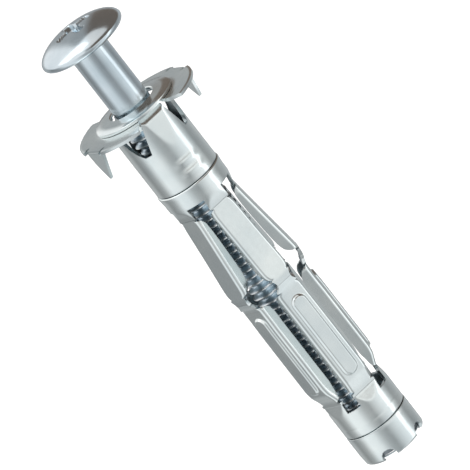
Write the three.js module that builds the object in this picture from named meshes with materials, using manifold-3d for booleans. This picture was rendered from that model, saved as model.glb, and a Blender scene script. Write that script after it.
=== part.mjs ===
// Hollow-wall anchor: a slotted steel sleeve with a clawed flange, a captive nut in its foot,
// and a mushroom-head machine screw that draws the foot up and folds five legs outwards.
// Millimetres, +Z along the screw towards its head. The origin is on the screw's axis, in the
// plane of the wall that the flange's rim bears on.

import * as THREE from 'three';
import { mergeVertices } from 'three/addons/utils/BufferGeometryUtils.js';
import Module from 'manifold-3d';

const wasm = await Module();
wasm.setup();

// ---- Driving dimensions ----------------------------------------------------------------

const SHEET = 0.32;               // wall of every pressed sheet-steel piece
const JOINT_GAP = 0.1;            // open gap at each folding crease
const FIT_GAP = 0.03;             // radial and axial gap between pieces pressed together

// Lengths along the axis, from the wall plane down to the end of the foot
const COLLAR_LENGTH = 7;          // flange to the end of the round collar
const NECK_LENGTH = 2.8;          // ring above the legs, down to the first crease
const UPPER_LEG_LENGTH = 8.6;     // first crease to the knee
const LOWER_LEG_LENGTH = 12.15;   // knee to the crease above the foot
const FOOT_LENGTH = 3.45;         // crease to the end of the foot ring
const CAP_LENGTH = 3;             // notched end cap below the foot ring
const SPIGOT_LENGTH = 1.3;        // how far the collar and the cap reach inside the sleeve
const NECK_RING_LENGTH = 1.7;     // closed ring above the slots
const FOOT_RING_LENGTH = 2.45;    // closed ring below the slots

// Sleeve radii and legs
const LEG_COUNT = 5;
const NECK_BULGE = 0.05;          // the neck ring stands this far proud of the collar
const FOOT_RELIEF = 0.03;         // the foot ring is this much smaller than the cap
const WAIST_INSET = 0.25;         // both waists lie this far inside the sleeve's outside
const KNEE_RISE = 0.95;           // knee above the waists
const SHIN_RISE = 0.58;           // flat lower leg above the waists
const KNEE_ROUND = 1.2;           // length of the rounded dip below the knee
const ANKLE_LENGTH = 2.1;         // curved lower end of the lower leg
const NECK_STRIP_WIDTH = 2.1;     // strips that carry the legs under the neck ring
const FOOT_STRIP_WIDTH = 2.5;     // and over the foot ring
const LEG_TOP_WIDTH = 2.4;        // upper leg over its folded edges, at the first crease
const LEG_KNEE_WIDTH = 2.5;       // and at the knee
const SHIN_WIDTH = 2.6;           // lower leg over its folded edges
const KNEE_WAIST_WIDTH = 1.45;    // web that is left between the relief holes at the knee
const RELIEF_LENGTH = 0.75;       // half length of the relief holes at the knee
const FLANK_DEPTH = 1.1;          // folded flanks of the legs
const FLANK_CLEARANCE = 0.12;     // flanks stay this far outside the thread
const ANKLE_FLANK_GAP = 2.3;      // the flank ends this far above the foot's crease
const SEAT_CLEARANCE = 0.04;      // cone's top inside the legs' inner faces
const SEAT_LENGTH = 1.9;          // conical top of the foot, from the crease down
const SEAT_BEND_DEPTH = 0.77;     // where the cone steepens, below the crease
const SEAT_BEND_RISE = 0.16;      // and how far it has widened by then
const BEAD_WIDTH = 1.5;           // stiffening bead on the lower leg
const BEAD_HEIGHT = 0.2;
const BEAD_MARGIN = 1.75;         // bead's ends to the knee and to the foot's crease

// Flange, claws and the openings under it
const FLANGE_RADIUS = 5.8;
const FLANGE_LAND = 1.5;          // flat rim of the flange that bears on the wall
const FLANGE_DISH = 0.2;          // the flange rises this far from the flat rim to the collar
const GAP_INNER_HALF = 1.35;      // gaps in the flange above the front and back tabs
const GAP_OUTER_HALF = 3.5;
const CLAW_LENGTH = 2.7;
const CLAW_WIDTH = 2.4;
const CLAW_ANGLE = 8;             // claw's middle from the middle of its wing, degrees
const CLAW_LEAN = 0.6;            // claw's point from the claw's middle, towards the wing's middle
const CLAW_INSET = 0.4;           // claw's outer face inside the flange's rim
const CLAW_RELIEF = 0.22;         // relief notches on both sides of a claw
const OPENING_DEPTH = 2.93;       // openings reach this far below the wall plane
const TAB_HALF_ANGLE = 23.5;      // front and back tabs at the flange, degrees
const TAB_FOOT_ANGLE = 40;        // and where they widen into the collar
const NECK_TAB_HALF_ANGLE = 13;   // narrow side tabs at the flange, degrees
const TOP_RING_RADIUS = 3.83;     // ring that lies on the flange
const TOP_RING_CLEARANCE = 0.17;  // ring's bore around the thread that passes through it

// Notched end cap and nut
const NOTCH_WIDTH = 1.35;
const NOTCH_HEIGHT = 0.85;
const CURL_DEPTH = 0.4;           // the cap's end curls in this far and holds the nut
const CURL_HEIGHT = 0.3;
const NUT_LENGTH = 3.6;
const NUT_FLANGE_LENGTH = 0.8;
const NUT_WALL = 0.23;            // nut's upper part, inside the cap's spigot; it sets the sleeve's radius
const NUT_THREAD_CLEARANCE = 0.09;

// Screw
const THREAD_RADIUS = 2;
const THREAD_START = -0.6;        // height where the full thread begins
const SCREW_END_INSET = 0.5;      // screw's end above the end of the cap
const SHANK_RADIUS = 1.75;
const SHANK_FILLET = 0.25;
const GRIP = 7.4;                 // wall plane to the bearing face under the head
const HEAD_RADIUS = 4.02;
const HEAD_FACE_RADIUS = 3.45;
const HEAD_EDGE = 0.5;            // bearing face to the head's widest line
const HEAD_DOME = 1.33;           // widest line to the crown
const RECESS_DEPTH = 1.25;
const RECESS_ARM = 1.75;          // arm's reach from the axis at the crown
const RECESS_ARM_END = 0.7;       // and at the bottom
const RECESS_WIDTH = 0.8;

const ROUND = 60;                 // facets around every turned piece
const DEG = Math.PI / 180;

// ---- Heights and radii that follow ------------------------------------------------------

const zCollarEnd = -COLLAR_LENGTH;
const zNeckCrease = zCollarEnd - NECK_LENGTH;
const zKnee = zNeckCrease - UPPER_LEG_LENGTH;
const zFootCrease = zKnee - LOWER_LEG_LENGTH;
const zFootEnd = zFootCrease - FOOT_LENGTH;
const zEnd = zFootEnd - CAP_LENGTH;
const zNeckSlots = zCollarEnd - NECK_RING_LENGTH;
const zFootSlots = zFootEnd + FOOT_RING_LENGTH;
const halfGap = JOINT_GAP / 2;

const nutBore = THREAD_RADIUS + NUT_THREAD_CLEARANCE;
const nutRadius = nutBore + NUT_WALL;
const sleeveRadius = nutRadius + 2 * FIT_GAP + 2 * SHEET + FOOT_RELIEF;
const topRingBore = THREAD_RADIUS + TOP_RING_CLEARANCE;
const waist = sleeveRadius - WAIST_INSET;
const neckRadius = sleeveRadius + NECK_BULGE;
const footRadius = sleeveRadius - FOOT_RELIEF;
const collarBore = sleeveRadius - SHEET;
const flangeTop = SHEET + FLANGE_DISH;
const flankFloor = THREAD_RADIUS + FLANK_CLEARANCE;
const seatTop = waist - SHEET - SEAT_CLEARANCE;

// ---- Geometry helpers -------------------------------------------------------------------

// A closed three.js geometry as a manifold solid.
function solidOf(geometry) {
  const bare = geometry.index ? geometry.toNonIndexed() : geometry.clone();
  bare.deleteAttribute('normal');
  bare.deleteAttribute('uv');
  const merged = mergeVertices(bare, 1e-5);
  const mesh = new wasm.Mesh({
    numProp: 3,
    vertProperties: new Float32Array(merged.attributes.position.array),
    triVerts: new Uint32Array(merged.index.array),
  });
  mesh.merge();
  return new wasm.Manifold(mesh);
}

// A manifold solid as a three.js geometry.
function geometryOf(solid) {
  const mesh = solid.getMesh();
  const geometry = new THREE.BufferGeometry();
  geometry.setAttribute('position', new THREE.BufferAttribute(mesh.vertProperties, 3));
  geometry.setIndex(new THREE.BufferAttribute(mesh.triVerts, 1));
  geometry.computeVertexNormals();
  return geometry;
}

// Solid of revolution about Z. The profile lists [radius, height], up the outside and down
// the inside; one that does not start and end on the axis is closed here.
function turned(profile) {
  const points = profile.map(([radius, height]) => new THREE.Vector2(radius, height));
  const onAxis = profile[0][0] === 0 && profile[profile.length - 1][0] === 0;
  if (!onAxis) points.push(points[0].clone());
  const geometry = new THREE.LatheGeometry(points, ROUND);
  geometry.rotateX(Math.PI / 2);
  return solidOf(geometry);
}

// Plain tube between two heights.
function tube(outer, inner, low, high) {
  return turned([[outer, low], [outer, high], [inner, high], [inner, low]]);
}

function outline(points) {
  return new THREE.Shape(points.map(([x, y]) => new THREE.Vector2(x, y)));
}

function extruded(shape, depth) {
  return new THREE.ExtrudeGeometry(shape, { depth, bevelEnabled: false, curveSegments: 8 });
}

// Outline in (radial, height), spread over a width centred on the leg's middle plane.
function sideBlock(shape, width) {
  const geometry = extruded(shape, width);
  geometry.rotateX(Math.PI / 2);
  geometry.translate(0, width / 2, 0);
  return solidOf(geometry);
}

// Outline in (across, height), carried outwards along +X from one radius to another.
function frontBlock(shape, from, to) {
  const geometry = extruded(shape, to - from);
  const basis = new THREE.Matrix4().makeBasis(
    new THREE.Vector3(0, 1, 0),
    new THREE.Vector3(0, 0, 1),
    new THREE.Vector3(1, 0, 0),
  );
  geometry.applyMatrix4(basis);
  geometry.translate(from, 0, 0);
  return solidOf(geometry);
}

// Outline in plan, between two heights.
function planBlock(shape, low, high) {
  const geometry = extruded(shape, high - low);
  geometry.translate(0, 0, low);
  return solidOf(geometry);
}

function box(from, to) {
  const size = to.map((value, axis) => value - from[axis]);
  const geometry = new THREE.BoxGeometry(...size);
  geometry.translate(...from.map((value, axis) => value + size[axis] / 2));
  return solidOf(geometry);
}

function turnedAboutZ(solid, degrees) {
  return solid.rotate([0, 0, degrees]);
}

// Copies of a solid at equal steps about Z, joined.
function aroundAxis(solid, angles) {
  const copies = angles.map((angle) => turnedAboutZ(solid, angle));
  return copies.reduce((sum, copy) => sum.add(copy));
}

// The legs stand at equal steps, the first one facing the front (-Y).
const FRONT = -90;
const legAngles = Array.from({ length: LEG_COUNT }, (_, i) => FRONT + (360 / LEG_COUNT) * i);
const slotAngles = legAngles.map((angle) => angle + 180 / LEG_COUNT);

// ---- Materials --------------------------------------------------------------------------

function steel(color, roughness) {
  return new THREE.MeshStandardMaterial({ color, roughness, metalness: 1 });
}

const zincSheet = () => steel(0xb4bec2, 0.32);
const zincScrew = () => steel(0x9fabb2, 0.28);
const zincNut = () => steel(0x8d9599, 0.4);

// ---- Flange and collar ------------------------------------------------------------------

// Dished disc: flat at the rim, rising to the collar.
function flangeDisc() {
  const landInner = FLANGE_RADIUS - FLANGE_LAND;
  return turned([
    [FLANGE_RADIUS, 0],
    [FLANGE_RADIUS, SHEET],
    [landInner, SHEET],
    [collarBore, flangeTop],
    [collarBore, FLANGE_DISH],
    [landInner, 0],
  ]);
}

// Gap in the flange above a front or back tab, flaring into rounded wing corners.
function flangeGap() {
  const shape = new THREE.Shape();
  const past = FLANGE_RADIUS + 0.5;
  shape.moveTo(-GAP_INNER_HALF, sleeveRadius);
  shape.lineTo(GAP_INNER_HALF, sleeveRadius);
  shape.quadraticCurveTo(GAP_INNER_HALF + 0.45, FLANGE_RADIUS - 0.95, GAP_OUTER_HALF, past);
  shape.lineTo(-GAP_OUTER_HALF, past);
  shape.quadraticCurveTo(-GAP_INNER_HALF - 0.45, FLANGE_RADIUS - 0.95, -GAP_INNER_HALF, sleeveRadius);
  return planBlock(shape, -1, flangeTop + 1);
}

// Claw: a broad tooth bent straight down, with its outer face just inside the rim. One edge
// is straight, the other bulges, and the point lies off the middle.
function claw() {
  const outer = FLANGE_RADIUS - CLAW_INSET;
  const half = CLAW_WIDTH / 2;
  const shape = new THREE.Shape();
  shape.moveTo(-half, SHEET / 2);
  shape.lineTo(-half, -0.2);
  shape.quadraticCurveTo(-half, -CLAW_LENGTH * 0.6, -CLAW_LEAN, -CLAW_LENGTH);
  shape.lineTo(half, -0.2);
  shape.lineTo(half, SHEET / 2);
  return frontBlock(shape, outer - SHEET, outer);
}

// Cut-away outside the claw's bend, and the relief notches beside it.
function clawCut() {
  const half = CLAW_WIDTH / 2;
  const outer = FLANGE_RADIUS - CLAW_INSET;
  const clear = box([outer, -half - CLAW_RELIEF, -1], [FLANGE_RADIUS + 1, half + CLAW_RELIEF, flangeTop + 1]);
  const sides = [-1, 1].map((side) => {
    const near = side * half;
    const far = side * (half + CLAW_RELIEF);
    return box(
      [outer - SHEET, Math.min(near, far), -1],
      [FLANGE_RADIUS + 1, Math.max(near, far), flangeTop + 1],
    );
  });
  return sides.reduce((sum, side) => sum.add(side), clear);
}

// One of the four openings between the tabs, drawn flat and cut square through the collar.
function collarOpening(side) {
  const middle = 50;
  const across = (angle) => side * sleeveRadius * Math.sin((angle - middle) * DEG);
  const sideTab = 90 - NECK_TAB_HALF_ANGLE;
  const shape = new THREE.Shape();
  shape.moveTo(across(TAB_HALF_ANGLE), 0);
  shape.lineTo(across(TAB_FOOT_ANGLE), -OPENING_DEPTH + 0.2);
  shape.quadraticCurveTo(across(42), -OPENING_DEPTH, across(45), -OPENING_DEPTH + 0.04);
  shape.quadraticCurveTo(across(66), -OPENING_DEPTH * 0.72, across(sideTab), 0);
  const cut = frontBlock(shape, sleeveRadius - 2 * SHEET - 0.2, sleeveRadius + 1);
  return turnedAboutZ(cut, side * middle);
}

// Collar: round barrel with the openings, the flange with its claws, and an inner spigot.
function flangeCollar() {
  const barrel = tube(sleeveRadius, collarBore, zCollarEnd + FIT_GAP, FLANGE_DISH + SHEET / 2);
  const spigotOuter = neckRadius - SHEET - FIT_GAP;
  const spigot = tube(spigotOuter, spigotOuter - SHEET, zCollarEnd - SPIGOT_LENGTH, zCollarEnd + 1);
  const sides = [FRONT, FRONT + 180];
  const openings = sides.flatMap((angle) => (
    [-1, 1].map((side) => turnedAboutZ(collarOpening(side), angle))
  ));
  const gaps = sides.map((angle) => turnedAboutZ(flangeGap(), angle - 90));
  const clawAngles = [CLAW_ANGLE, CLAW_ANGLE + 180];
  let flange = flangeDisc();
  gaps.forEach((gap) => {
    flange = flange.subtract(gap);
  });
  flange = flange.subtract(aroundAxis(clawCut(), clawAngles));
  flange = flange.add(aroundAxis(claw(), clawAngles));
  let collar = barrel.add(spigot);
  openings.forEach((opening) => {
    collar = collar.subtract(opening);
  });
  return collar.add(flange);
}

// Ring that lies on the flange around the screw and stiffens the front and back tabs.
function topRing() {
  const slope = FLANGE_DISH / (FLANGE_RADIUS - FLANGE_LAND - collarBore);
  const under = (radius) => flangeTop + FIT_GAP + (collarBore - radius) * slope;
  return turned([
    [TOP_RING_RADIUS, under(TOP_RING_RADIUS)],
    [TOP_RING_RADIUS, under(TOP_RING_RADIUS) + SHEET],
    [topRingBore, under(topRingBore) + SHEET],
    [topRingBore, under(topRingBore)],
  ]);
}

// ---- Sleeve: neck ring, legs and foot ring ----------------------------------------------

// Strips that carry the legs under the neck ring: a turned shape kept only at the legs.
function stubs(profile, low, high) {
  const half = NECK_STRIP_WIDTH / 2;
  const strip = box([0, -half, low], [sleeveRadius + 1, half, high]);
  return turned(profile).intersect(aroundAxis(strip, legAngles));
}

function sleeveNeck() {
  const ring = tube(neckRadius, neckRadius - SHEET, zNeckSlots, zCollarEnd);
  const low = zNeckCrease + halfGap;
  const middle = (zNeckSlots + low) / 2;
  const strips = stubs([
    [waist, low],
    [waist + 0.07, middle],
    [neckRadius, zNeckSlots + 0.05],
    [neckRadius - SHEET, zNeckSlots + 0.05],
    [waist + 0.07 - SHEET, middle],
    [waist - SHEET, low],
  ], low - 1, zNeckSlots + 0.05);
  return ring.add(strips);
}

// The conical top stays inside the path that the lower legs' ends take as they fold.
function sleeveFoot() {
  const outer = [
    [footRadius, zFootEnd],
    [footRadius, zFootCrease - SEAT_LENGTH],
    [seatTop + SEAT_BEND_RISE, zFootCrease - SEAT_BEND_DEPTH],
    [seatTop, zFootCrease - halfGap],
  ];
  const inner = outer.map(([radius, height]) => [radius - SHEET, height]).reverse();
  const reach = sleeveRadius + 1;
  const half = FOOT_STRIP_WIDTH / 2;
  const strip = box([0, -half, zFootEnd], [reach, half, zFootCrease]);
  const ring = box([-reach, -reach, zFootEnd - 1], [reach, reach, zFootSlots]);
  return turned([...outer, ...inner]).intersect(aroundAxis(strip, legAngles).add(ring));
}

// Channel section along a leg. The face runs through the points [height, radial distance];
// the front outline gives its half width, and flankEnds are the heights that the flanks span.
function channelLeg(face, frontShape, insetShape, flankEnds, fullWidth) {
  const outer = face.map(([height, reach]) => [reach, height]);
  const inner = face.map(([height, reach]) => [reach - SHEET, height]).reverse();
  const web = sideBlock(outline([...outer, ...inner]), fullWidth);
  const [high, low] = flankEnds;
  const corner = FLANK_DEPTH;
  const depthAt = (height) => {
    const fromKnee = Math.abs(height - zKnee) - RELIEF_LENGTH;
    if (fromKnee >= corner) return FLANK_DEPTH;
    return FLANK_DEPTH * Math.sqrt(Math.max(0, 1 - (1 - fromKnee / corner) ** 2));
  };
  const reachAt = (height) => {
    const at = face.findIndex(([level], i) => i > 0 && level <= height);
    const [h0, r0] = face[at - 1];
    const [h1, r1] = face[at];
    return r0 + ((r1 - r0) * (h0 - height)) / (h0 - h1);
  };
  const steps = 24;
  const flankPoints = Array.from({ length: steps + 1 }, (_, i) => {
    const height = high + ((low - high) * i) / steps;
    const flank = Math.max(depthAt(height), SHEET * 0.5);
    return [height, reachAt(height), Math.max(flankFloor, reachAt(height) - flank)];
  });
  const flankOuter = flankPoints.map(([height, reach]) => [reach - SHEET / 2, height]);
  const flankInner = flankPoints.map(([height, , edge]) => [Math.min(edge, waist), height]).reverse();
  const flankBlock = sideBlock(outline([...flankOuter, ...flankInner]), fullWidth);
  const between = frontBlock(insetShape, 0, waist + KNEE_RISE + 1);
  const flanks = flankBlock.subtract(between);
  return web.add(flanks).intersect(frontBlock(frontShape, 0, waist + KNEE_RISE + 1));
}

// Half outline of a leg's front view, mirrored and closed; narrowed all round by the inset.
function legFront(halfWidths, inset) {
  const right = halfWidths.map(([height, half]) => [half - inset, height]);
  const left = right.map(([half, height]) => [-half, height]).reverse();
  return outline([...right, ...left]);
}

function upperLeg() {
  const high = zNeckCrease - halfGap;
  const low = zKnee + halfGap;
  const kneeTop = zKnee + 0.5;
  const face = [
    [high, waist],
    [kneeTop, waist + KNEE_RISE],
    [low, waist + KNEE_RISE - 0.08],
  ];
  const widths = [
    [high, LEG_TOP_WIDTH / 2],
    [zKnee + RELIEF_LENGTH + 0.35, LEG_KNEE_WIDTH / 2],
    [zKnee + RELIEF_LENGTH * 0.75, LEG_KNEE_WIDTH / 2 - 0.1],
    [low, KNEE_WAIST_WIDTH / 2],
  ];
  const flankEnds = [high - 0.35, zKnee + RELIEF_LENGTH];
  return channelLeg(face, legFront(widths, 0), legFront(widths, SHEET), flankEnds, SHIN_WIDTH);
}

function lowerLeg() {
  const high = zKnee - halfGap;
  const low = zFootCrease + halfGap;
  const shin = waist + SHIN_RISE;
  const face = [
    [high, waist + KNEE_RISE - 0.1],
    [high - KNEE_ROUND * 0.55, shin + 0.07],
    [high - KNEE_ROUND, shin - 0.06],
    [high - KNEE_ROUND - 3, shin],
    [zFootCrease + ANKLE_LENGTH, shin],
    [zFootCrease + ANKLE_LENGTH * 0.62, waist + SHIN_RISE * 0.55],
    [zFootCrease + ANKLE_LENGTH * 0.28, waist + 0.06],
    [low, waist],
  ];
  const widths = [
    [high, KNEE_WAIST_WIDTH / 2],
    [zKnee - RELIEF_LENGTH * 0.75, SHIN_WIDTH / 2 - 0.22],
    [zKnee - RELIEF_LENGTH - 0.35, SHIN_WIDTH / 2],
    [zFootCrease + ANKLE_LENGTH, SHIN_WIDTH / 2],
    [low, FOOT_STRIP_WIDTH / 2],
  ];
  const flankEnds = [zKnee - RELIEF_LENGTH, zFootCrease + ANKLE_FLANK_GAP];
  const leg = channelLeg(face, legFront(widths, 0), legFront(widths, SHEET), flankEnds, SHIN_WIDTH);
  return leg.add(bead(face));
}

// Raised bead with round ends that stiffens the lower leg's face.
function bead(face) {
  const half = BEAD_WIDTH / 2;
  const top = zKnee - BEAD_MARGIN - half;
  const bottom = zFootCrease + BEAD_MARGIN + half;
  const shape = new THREE.Shape();
  shape.moveTo(half, bottom);
  shape.lineTo(half, top);
  shape.absarc(0, top, half, 0, Math.PI, false);
  shape.lineTo(-half, bottom);
  shape.absarc(0, bottom, half, Math.PI, 2 * Math.PI, false);
  const outer = face.map(([height, reach]) => [reach + BEAD_HEIGHT, height]);
  const inner = face.map(([height, reach]) => [reach - SHEET / 2, height]).reverse();
  const band = sideBlock(outline([...outer, ...inner]), SHIN_WIDTH);
  return frontBlock(shape, 0, waist + KNEE_RISE + 1).intersect(band);
}

// ---- Foot: end cap and nut --------------------------------------------------------------

// Arch-shaped notch in the cap's end.
function capNotch() {
  const half = NOTCH_WIDTH / 2;
  const shape = new THREE.Shape();
  shape.moveTo(-half, zEnd - 0.5);
  shape.lineTo(half, zEnd - 0.5);
  shape.lineTo(half, zEnd + NOTCH_HEIGHT * 0.45);
  shape.quadraticCurveTo(half * 0.9, zEnd + NOTCH_HEIGHT, 0, zEnd + NOTCH_HEIGHT);
  shape.quadraticCurveTo(-half * 0.9, zEnd + NOTCH_HEIGHT, -half, zEnd + NOTCH_HEIGHT * 0.45);
  return frontBlock(shape, 1, sleeveRadius + 1);
}

function endCap() {
  const bore = sleeveRadius - SHEET;
  const spigotOuter = footRadius - SHEET - FIT_GAP;
  const cup = turned([
    [sleeveRadius - CURL_DEPTH, zEnd],
    [sleeveRadius - 0.12, zEnd + 0.08],
    [sleeveRadius, zEnd + CURL_HEIGHT],
    [sleeveRadius, zFootEnd - FIT_GAP],
    [spigotOuter, zFootEnd - FIT_GAP],
    [spigotOuter, zFootEnd + SPIGOT_LENGTH],
    [spigotOuter - SHEET, zFootEnd + SPIGOT_LENGTH],
    [spigotOuter - SHEET, zFootEnd - SHEET],
    [bore, zFootEnd - SHEET - 0.2],
    [bore, zEnd + CURL_HEIGHT + 0.1],
    [sleeveRadius - CURL_DEPTH, zEnd + CURL_HEIGHT],
  ]);
  return cup.subtract(aroundAxis(capNotch(), slotAngles));
}

// Captive nut: a threaded bush, with a flange that the cap's curled end holds.
function nut() {
  const bore = nutBore;
  const body = nutRadius;
  const flange = sleeveRadius - SHEET - FIT_GAP;
  const low = zEnd + CURL_HEIGHT + 0.1 + FIT_GAP;
  return turned([
    [bore + 0.12, low],
    [flange, low],
    [flange, low + NUT_FLANGE_LENGTH],
    [body, low + NUT_FLANGE_LENGTH],
    [body, low + NUT_LENGTH],
    [bore + 0.12, low + NUT_LENGTH],
    [bore, low + NUT_LENGTH - 0.15],
    [bore, low + 0.15],
  ]);
}

// ---- Screw ------------------------------------------------------------------------------

// Tapered arm of the cross recess: wide and long at the crown, short at the bottom.
function recessArm() {
  const crown = GRIP + HEAD_EDGE + HEAD_DOME;
  const bottom = crown - RECESS_DEPTH;
  const shape = outline([
    [-RECESS_ARM_END, bottom],
    [RECESS_ARM_END, bottom],
    [RECESS_ARM + 0.15, crown + 0.1],
    [-RECESS_ARM - 0.15, crown + 0.1],
  ]);
  return sideBlock(shape, RECESS_WIDTH);
}

function screw() {
  const edge = GRIP + HEAD_EDGE;
  const sphere = (HEAD_RADIUS ** 2 + HEAD_DOME ** 2) / (2 * HEAD_DOME);
  const domeSteps = 9;
  const dome = Array.from({ length: domeSteps }, (_, i) => {
    const radius = HEAD_RADIUS * (1 - i / domeSteps);
    const height = edge + HEAD_DOME - sphere + Math.sqrt(sphere ** 2 - radius ** 2);
    return [radius, height];
  });
  const screwEnd = zEnd + SCREW_END_INSET;
  const profile = [
    [0, screwEnd],
    [THREAD_RADIUS - 0.45, screwEnd],
    [THREAD_RADIUS, screwEnd + 0.5],
    [THREAD_RADIUS, THREAD_START],
    [SHANK_RADIUS, THREAD_START + 0.5],
    [SHANK_RADIUS, GRIP - SHANK_FILLET],
    [SHANK_RADIUS + SHANK_FILLET, GRIP],
    [HEAD_FACE_RADIUS, GRIP],
    [HEAD_RADIUS - 0.2, GRIP + 0.18],
    ...dome,
    [0, edge + HEAD_DOME],
  ];
  const blank = turned(profile);
  const cross = recessArm().add(turnedAboutZ(recessArm(), 90));
  return blank.subtract(cross);
}

// ---- Assembly ---------------------------------------------------------------------------

function part(name, solid, material) {
  const mesh = new THREE.Mesh(geometryOf(solid), material);
  mesh.name = name;
  return mesh;
}

const anchor = new THREE.Group();
anchor.add(part('flange_collar', flangeCollar(), zincSheet()));
anchor.add(part('top_ring', topRing(), zincSheet()));
anchor.add(part('sleeve_neck', sleeveNeck(), zincSheet()));

legAngles.forEach((angle, i) => {
  const turn = new THREE.Group();
  turn.rotation.z = angle * DEG;
  turn.add(part(`upper_leg_${i + 1}`, upperLeg(), zincSheet()));
  turn.add(part(`lower_leg_${i + 1}`, lowerLeg(), zincSheet()));
  anchor.add(turn);
});

anchor.add(part('sleeve_foot', sleeveFoot(), zincSheet()));
anchor.add(part('end_cap', endCap(), zincSheet()));
anchor.add(part('nut', nut(), zincNut()));
anchor.add(part('screw', screw(), zincScrew()));

export default anchor;
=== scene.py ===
import math

import bmesh
import bpy
import numpy as np
from mathutils import Matrix, Vector


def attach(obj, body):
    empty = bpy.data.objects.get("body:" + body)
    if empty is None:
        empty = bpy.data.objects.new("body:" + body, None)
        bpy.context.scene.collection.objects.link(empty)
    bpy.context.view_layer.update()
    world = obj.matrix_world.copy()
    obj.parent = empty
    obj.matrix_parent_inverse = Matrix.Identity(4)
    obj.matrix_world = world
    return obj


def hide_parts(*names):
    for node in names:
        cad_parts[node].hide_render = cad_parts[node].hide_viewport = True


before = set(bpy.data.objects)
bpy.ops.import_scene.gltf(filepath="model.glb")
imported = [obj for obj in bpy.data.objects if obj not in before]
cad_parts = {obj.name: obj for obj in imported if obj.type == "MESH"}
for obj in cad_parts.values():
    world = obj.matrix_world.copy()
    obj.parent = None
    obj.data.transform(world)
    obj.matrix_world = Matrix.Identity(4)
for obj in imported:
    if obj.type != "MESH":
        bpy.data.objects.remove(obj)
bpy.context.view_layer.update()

# ---- Sizes, in millimetres; MM turns them into metres when a mesh is made ----------------

MM = 0.001
SHEET = 0.32            # sheet steel of the sleeve
SLEEVE = 3.05           # outside of the round collar
WAIST = 2.8
LEGS = 5
FRONT = -90.0
LEG_ANGLES = [FRONT + 72.0 * i for i in range(LEGS)]
Z_COLLAR_END = -7.0
Z_NECK_SLOTS = -8.7
Z_NECK_CREASE = -9.8
Z_KNEE = -18.4
Z_FOOT_CREASE = -30.55
Z_FOOT_SLOTS = -31.55
Z_END = -37.0
CREASE = 0.004          # half the open line at a crease
NECK_STRIP = 1.05       # half width of the strips that carry the legs, at the neck
FOOT_STRIP = 1.25       # and at the foot
FLANGE = 5.8
FLANGE_RISE = 0.2
PITCH = 0.7
CLAW_ANGLE = 8.0        # claw's middle from the middle of its wing
CLAW_HALF = 1.2
SHANK = 1.75
THREAD_ROOT = 1.52
THREAD_DEPTH = 0.48
MERGE = 2e-7            # metres: points nearer than this are one


# ---- Making meshes -----------------------------------------------------------------------

def ease(x, low, high):
    """Smooth step: 0 below low, 1 above high, 3t^2 - 2t^3 between."""
    t = np.clip((x - low) / (high - low), 0.0, 1.0)
    return t * t * (3.0 - 2.0 * t)


def bump_between(x, low, high, soft):
    """1 between low and high, falling to 0 over soft on each side."""
    return ease(x, low - soft, low) * (1.0 - ease(x, high, high + soft))


def round_about(radius, angle, height):
    """Cylinder coordinates to x, y, z: radius times cosine and sine of the angle in degrees."""
    radius, a, height = np.broadcast_arrays(radius, np.radians(angle), height)
    return np.stack([radius * np.cos(a), radius * np.sin(a), height], axis=-1)


def make_mesh(name, points, faces, edge=None, bevel=0.0, smooth_angle=40.0):
    """Points in millimetres and quads into one object in metres. Corners that meet are merged."""
    mesh = bpy.data.meshes.new(name)
    mesh.from_pydata((points * MM).tolist(), [], faces.tolist())
    if edge is not None:
        # sheet marks: 1 at sheared edges, -1 on the inner side, where the finish paints shade
        cut = mesh.attributes.new("sheared_edge_and_painted_inner_shade", "FLOAT", "POINT")
        cut.data.foreach_set("value", edge.astype(np.float32))
    mesh.update()
    obj = bpy.data.objects.new(name, mesh)
    bpy.context.scene.collection.objects.link(obj)
    clean(obj)
    if bevel > 0.0:
        soften = obj.modifiers.new("soft_edges", "BEVEL")
        soften.width = bevel * MM
        soften.segments = 2
        soften.limit_method = "ANGLE"
        soften.angle_limit = math.radians(50.0)
    mesh.polygons.foreach_set("use_smooth", np.ones(len(mesh.polygons), bool))
    mesh.set_sharp_from_angle(angle=math.radians(smooth_angle))
    return obj


def clean(obj, fill=False):
    """Merges points that coincide, drops empty faces and turns every face outwards. With fill, any
    rim that is still open is closed as well."""
    work = bmesh.new()
    work.from_mesh(obj.data)
    bmesh.ops.remove_doubles(work, verts=work.verts, dist=MERGE)
    bmesh.ops.dissolve_degenerate(work, edges=work.edges, dist=MERGE / 2.0)
    if fill:
        bmesh.ops.holes_fill(work, edges=[e for e in work.edges if e.is_boundary], sides=0)
        bmesh.ops.triangulate(work, faces=[f for f in work.faces if len(f.verts) > 4])
    bmesh.ops.recalc_face_normals(work, faces=work.faces)
    work.to_mesh(obj.data)
    work.free()
    obj.data.update()


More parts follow.
